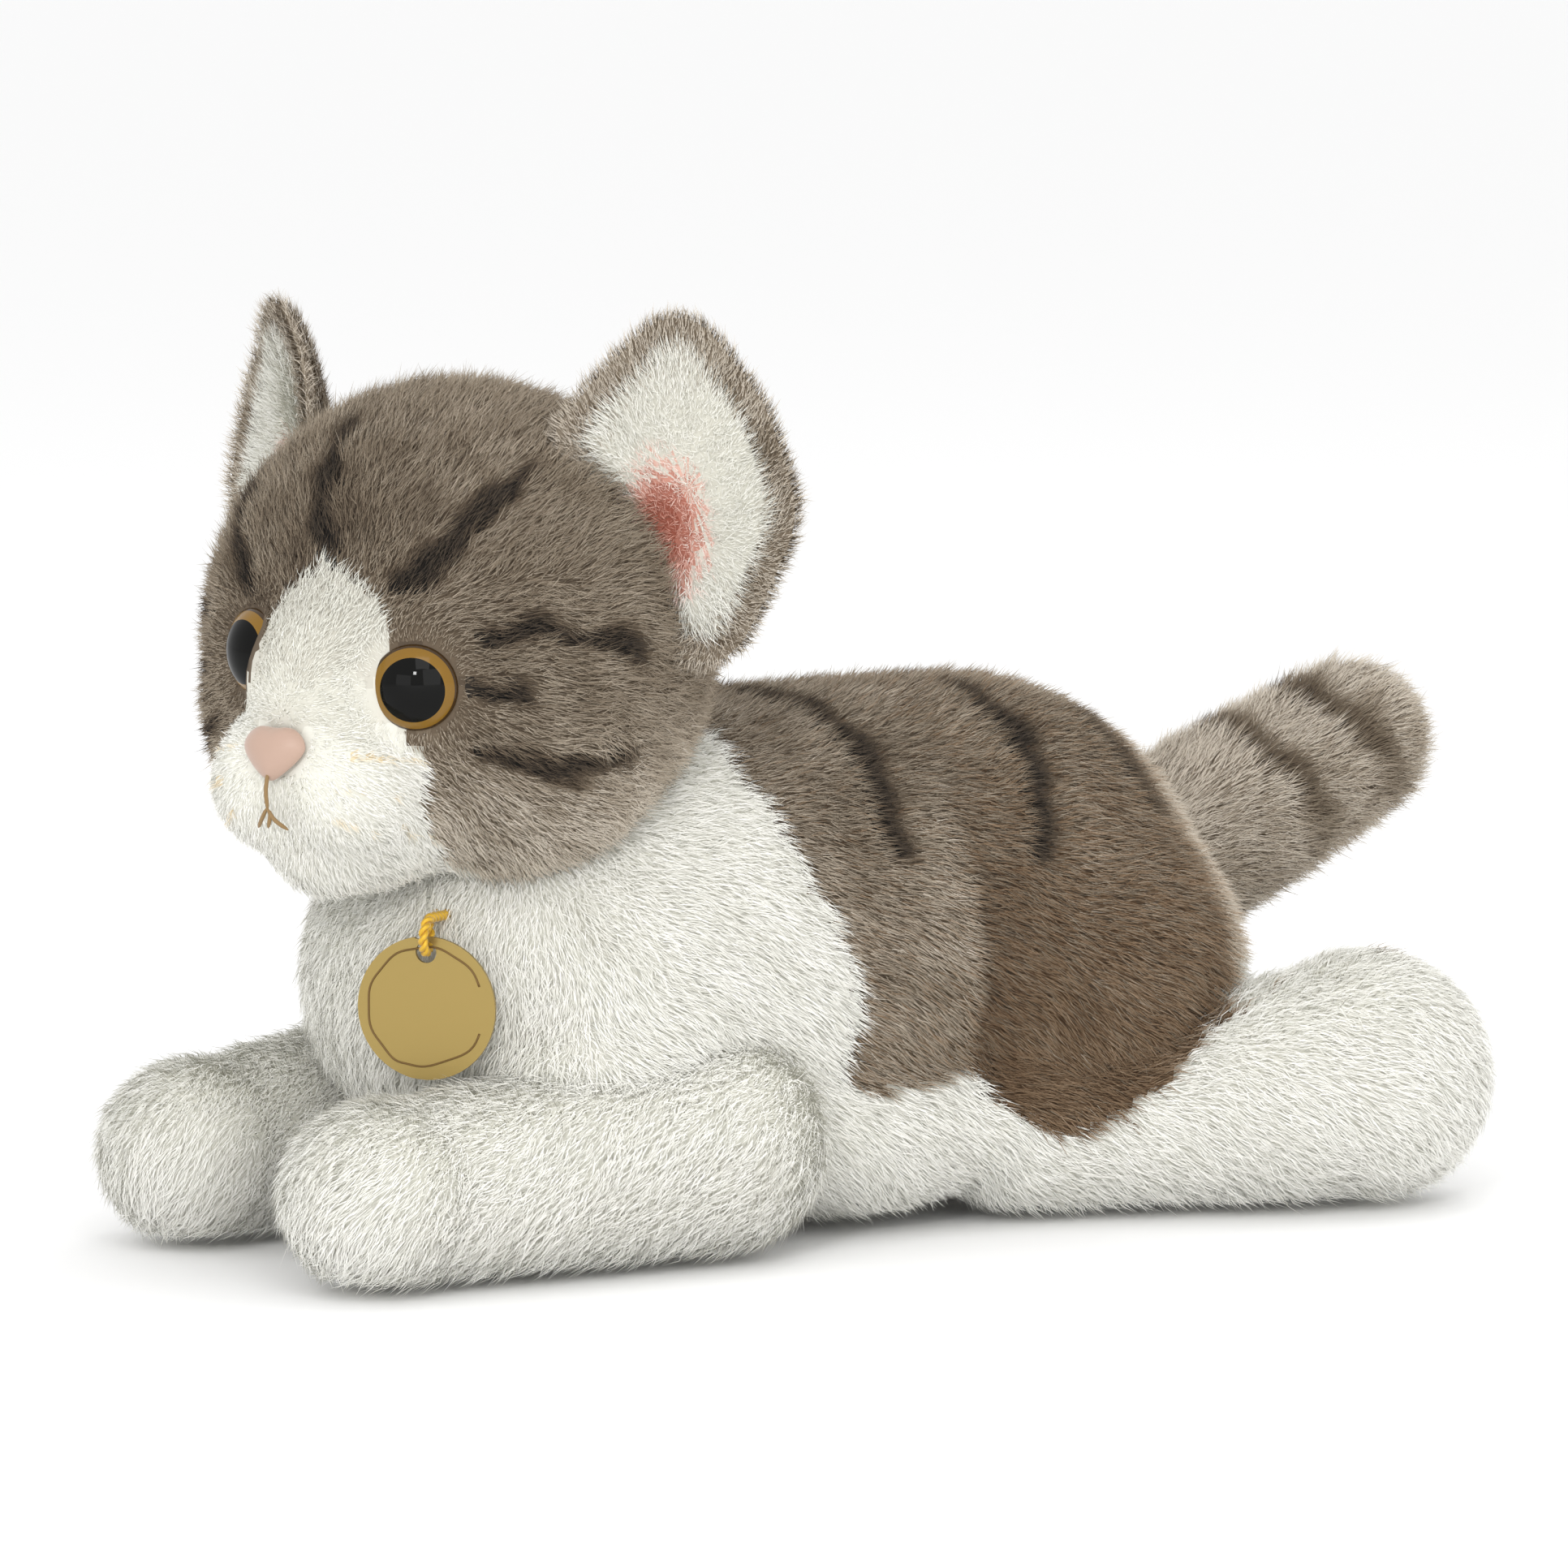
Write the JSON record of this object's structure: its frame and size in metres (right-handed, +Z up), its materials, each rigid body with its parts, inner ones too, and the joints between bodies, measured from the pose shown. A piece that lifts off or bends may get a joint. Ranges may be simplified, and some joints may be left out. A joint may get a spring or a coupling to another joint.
{
  "type": "plush cat",
  "caption": "Small lying plush tabby cat with a turning head, folding ears, swinging legs and tail, and a card tag on a twisted cord.",
  "frame": {"origin": "middle of the flat belly panel, on the surface that the cat lies on", "axes": "+Z up, the nose points along -Y and the cat's left side is +X"},
  "size_m": [0.1318, 0.2202, 0.1325],
  "materials": {
    "grey_pile": "short soft pile, silvery tips, darker stripes",
    "white_pile": "short soft pile",
    "ear_lining": "short pile, airbrushed coral pink",
    "fibre": "loose polyester fibre",
    "pouch_cloth": "woven lining cloth",
    "pink_satin": "satin sheen",
    "brown_thread": "embroidery thread",
    "gold_cord": "twisted satin cord",
    "eye_gloss": "polished dome over an amber ring",
    "eye_backing": "moulded amber backing",
    "washer_plastic": "moulded washer",
    "gold_card": "matt gold foil on card"
  },
  "bodies": {
    "torso": {"back_skin": "grey_pile", "belly_skin": "white_pile", "belly_panel": "white_pile", "torso_stuffing": "fibre", "pellet_pouch": "pouch_cloth", "tag_cord": "gold_cord"},
    "neck": {"neck_stuffing": "fibre"},
    "head": {"crown_skin": "grey_pile", "muzzle_skin": "white_pile", "head_stuffing": "fibre", "left_eye_dome": "eye_gloss", "right_eye_dome": "eye_gloss", "left_eye_stem": "eye_backing", "right_eye_stem": "eye_backing", "left_eye_washer": "washer_plastic", "right_eye_washer": "washer_plastic", "nose": "pink_satin", "mouth_stitching": "brown_thread"},
    "left_ear": {"left_ear_back": "grey_pile", "left_ear_lining": "ear_lining"},
    "right_ear": {"right_ear_back": "grey_pile", "right_ear_lining": "ear_lining"},
    "left_front_leg": {"left_front_leg_skin": "white_pile", "left_front_leg_stuffing": "fibre"},
    "right_front_leg": {"right_front_leg_skin": "white_pile", "right_front_leg_stuffing": "fibre"},
    "left_hind_leg": {"left_hind_leg_skin": "white_pile", "left_hind_leg_stuffing": "fibre"},
    "right_hind_leg": {"right_hind_leg_skin": "white_pile", "right_hind_leg_stuffing": "fibre"},
    "tail_root": {"tail_root_stuffing": "fibre"},
    "tail": {"tail_skin": "grey_pile", "tail_stuffing": "fibre"},
    "tag": {"swing_tag": "gold_card"}
  },
  "joints": [
    {"name": "head_turn", "type": "hinge", "parent": "torso", "child": "neck", "pos_m": [0.002, -0.058, 0.087], "axis": [0, 0, 1], "range_deg": [-30, 20], "stiffness_Nm_per_rad": 0.3},
    {"name": "head_nod", "type": "hinge", "parent": "neck", "child": "head", "pos_m": [0.002, -0.058, 0.087], "axis": [0.9455, 0.3256, 0], "range_deg": [-14, 3], "stiffness_Nm_per_rad": 0.4},
    {"name": "left_ear_fold", "type": "hinge", "parent": "head", "child": "left_ear", "pos_m": [0.03272, -0.04406, 0.10485], "axis": [-0.3346, -0.3716, 0.866], "range_deg": [-18, 18], "stiffness_Nm_per_rad": 0.03},
    {"name": "right_ear_fold", "type": "hinge", "parent": "head", "child": "right_ear", "pos_m": [-0.03079, -0.06593, 0.10485], "axis": [0.4924, -0.0868, 0.866], "range_deg": [-18, 18], "stiffness_Nm_per_rad": 0.03},
    {"name": "left_front_leg_swing", "type": "hinge", "parent": "torso", "child": "left_front_leg", "pos_m": [0.03, -0.034, 0.0165], "axis": [0, 0, 1], "range_deg": [-3, 25], "stiffness_Nm_per_rad": 0.15},
    {"name": "right_front_leg_swing", "type": "hinge", "parent": "torso", "child": "right_front_leg", "pos_m": [-0.03, -0.034, 0.0165], "axis": [0, 0, -1], "range_deg": [-3, 25], "stiffness_Nm_per_rad": 0.15},
    {"name": "left_hind_leg_swing", "type": "hinge", "parent": "torso", "child": "left_hind_leg", "pos_m": [0.027, 0.022, 0.013], "axis": [0, 0, -1], "range_deg": [-2, 20], "stiffness_Nm_per_rad": 0.15},
    {"name": "right_hind_leg_swing", "type": "hinge", "parent": "torso", "child": "right_hind_leg", "pos_m": [-0.027, 0.022, 0.013], "axis": [0, 0, 1], "range_deg": [-2, 20], "stiffness_Nm_per_rad": 0.15},
    {"name": "tail_swing", "type": "hinge", "parent": "torso", "child": "tail_root", "pos_m": [0, 0.066, 0.045], "axis": [0, 0, 1], "range_deg": [-20, 20], "stiffness_Nm_per_rad": 0.15},
    {"name": "tail_lift", "type": "hinge", "parent": "tail_root", "child": "tail", "pos_m": [0, 0.066, 0.045], "axis": [1, 0, 0], "range_deg": [-12, 15], "stiffness_Nm_per_rad": 0.2},
    {"name": "tag_swing", "type": "hinge", "parent": "torso", "child": "tag", "pos_m": [0.0188, -0.0746, 0.0478], "axis": [-0.788, -0.6157, 0], "range_deg": [0, 50]}
  ]
}
